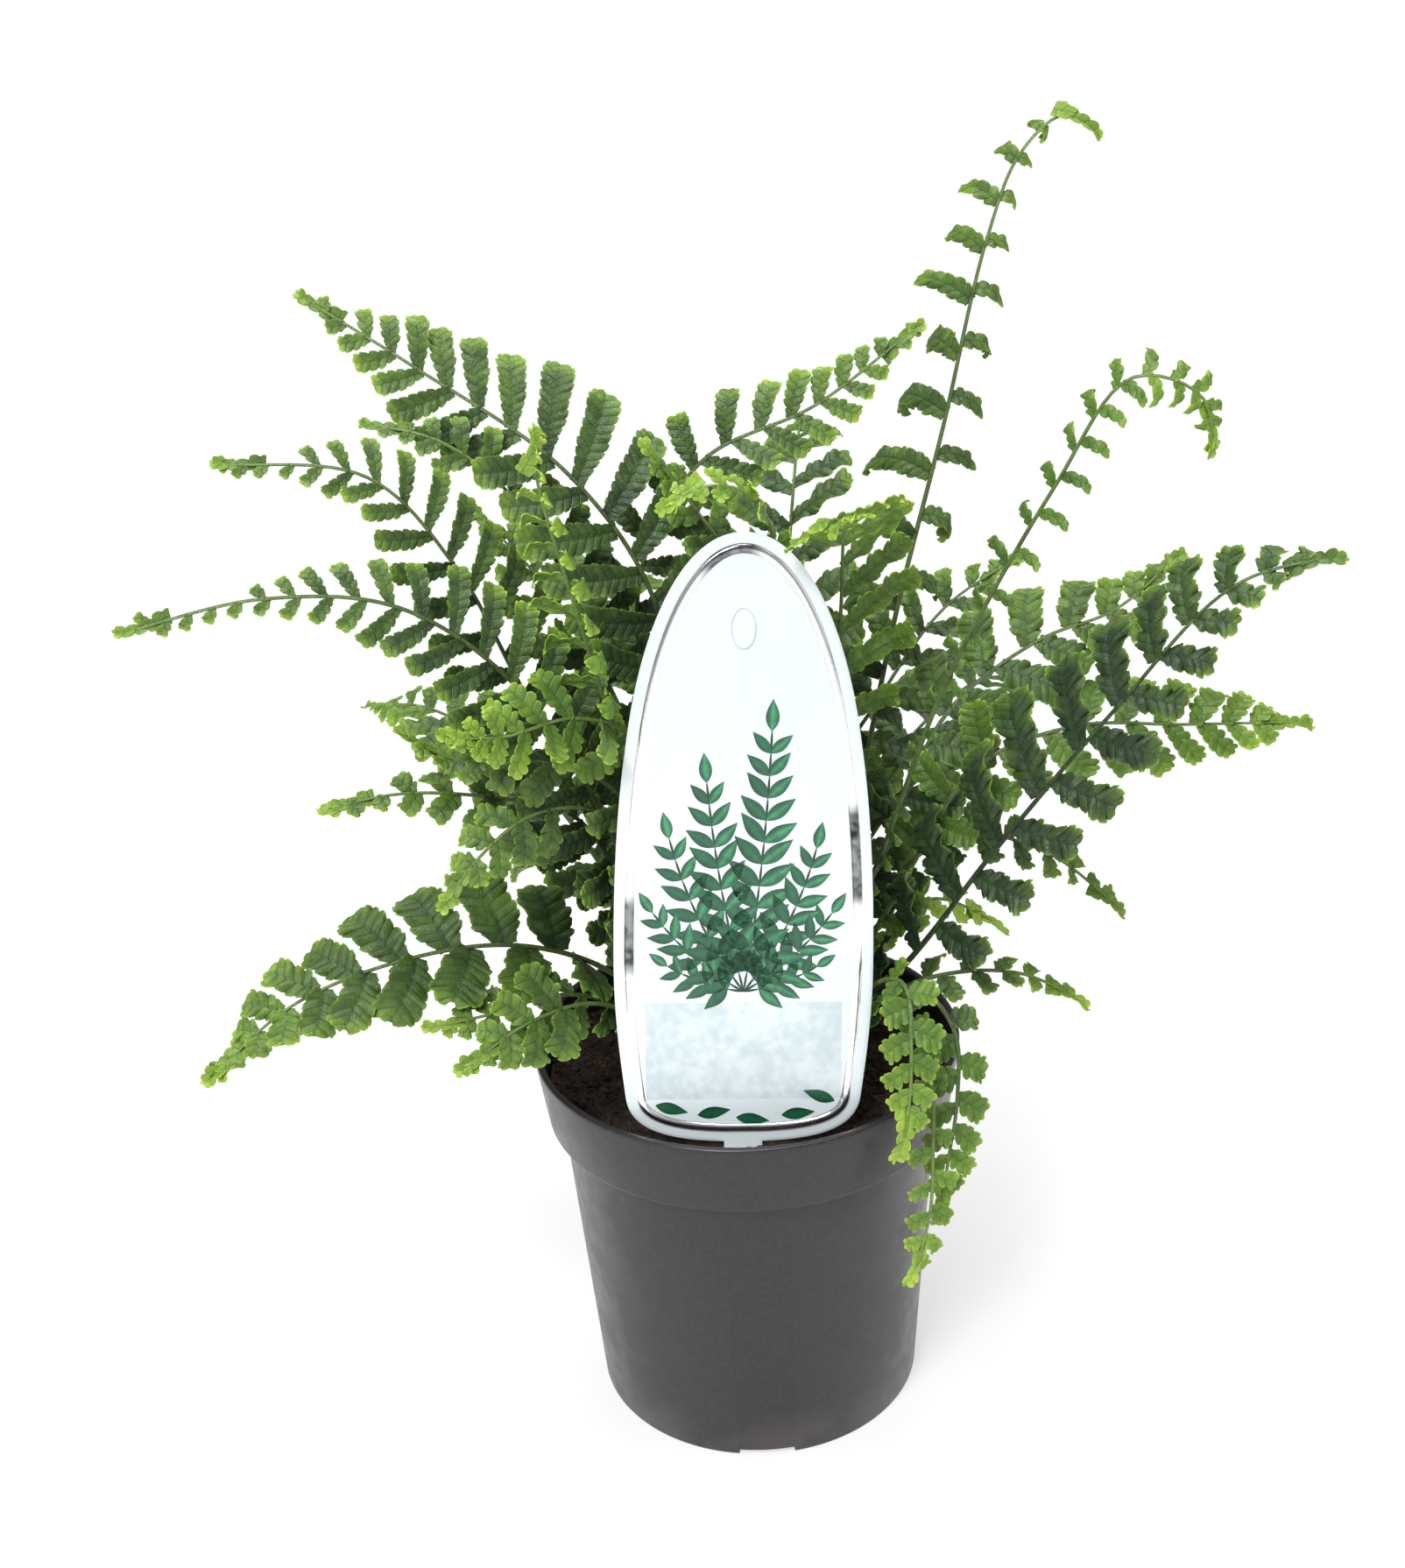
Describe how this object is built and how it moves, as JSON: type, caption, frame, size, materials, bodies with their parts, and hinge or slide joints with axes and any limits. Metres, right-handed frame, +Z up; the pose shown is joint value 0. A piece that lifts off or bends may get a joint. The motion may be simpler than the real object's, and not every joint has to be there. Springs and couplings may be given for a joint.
{
  "type": "potted crested scaly male fern",
  "caption": "Crested scaly male fern in a round nursery pot, with arching divided fronds and a plant label.",
  "frame": {"origin": "middle of the pot's underside, on the surface it stands on", "axes": "+Z up along the pot's axis, -Y towards the side that the plant label faces, +X to the right seen from there"},
  "size_m": [0.329, 0.2143, 0.384],
  "materials": {
    "pot": "satin black nursery plastic",
    "soil": "loose dark peat with bark chips",
    "crown": "fibrous root stock with brown scales",
    "label": "glossy printed plastic with a silver border",
    "leaf": "satin dark green leaf",
    "young_leaf": "satin light green young leaf"
  },
  "bodies": {
    "root": {"pot": "pot", "soil": "soil", "crown": "crown", "label": "label", "frond_left_high": "leaf", "frond_left_crested": "leaf", "frond_left_between": "leaf", "frond_left_long": "leaf", "frond_left_young": "young_leaf", "frond_left_pale": "young_leaf", "frond_left_under": "leaf", "frond_left_forked": "leaf", "frond_left_drop": "leaf", "frond_left_arching": "leaf", "frond_left_low_thin": "leaf", "frond_left_low_broad": "leaf", "frond_top_right": "leaf", "frond_top_hooked": "young_leaf", "frond_top_left_small": "leaf", "frond_top_front": "young_leaf", "frond_tall": "leaf", "frond_hooked": "young_leaf", "frond_right_large": "leaf", "frond_right_behind": "leaf", "frond_right_pale": "young_leaf", "frond_right_thin": "leaf", "frond_right_low": "leaf", "frond_right_yellow": "young_leaf", "frond_hanging_short": "young_leaf", "frond_hanging_broad": "young_leaf", "frond_hanging_long": "young_leaf", "frond_back_left_upper": "leaf", "frond_back_right_upper": "leaf", "frond_back_right_inner": "leaf", "frond_back_tall": "leaf", "frond_back_middle": "leaf", "frond_back_right": "leaf", "frond_back_left": "leaf", "frond_back_low": "leaf", "frond_back_left_low": "leaf"}
  },
  "joints": []
}
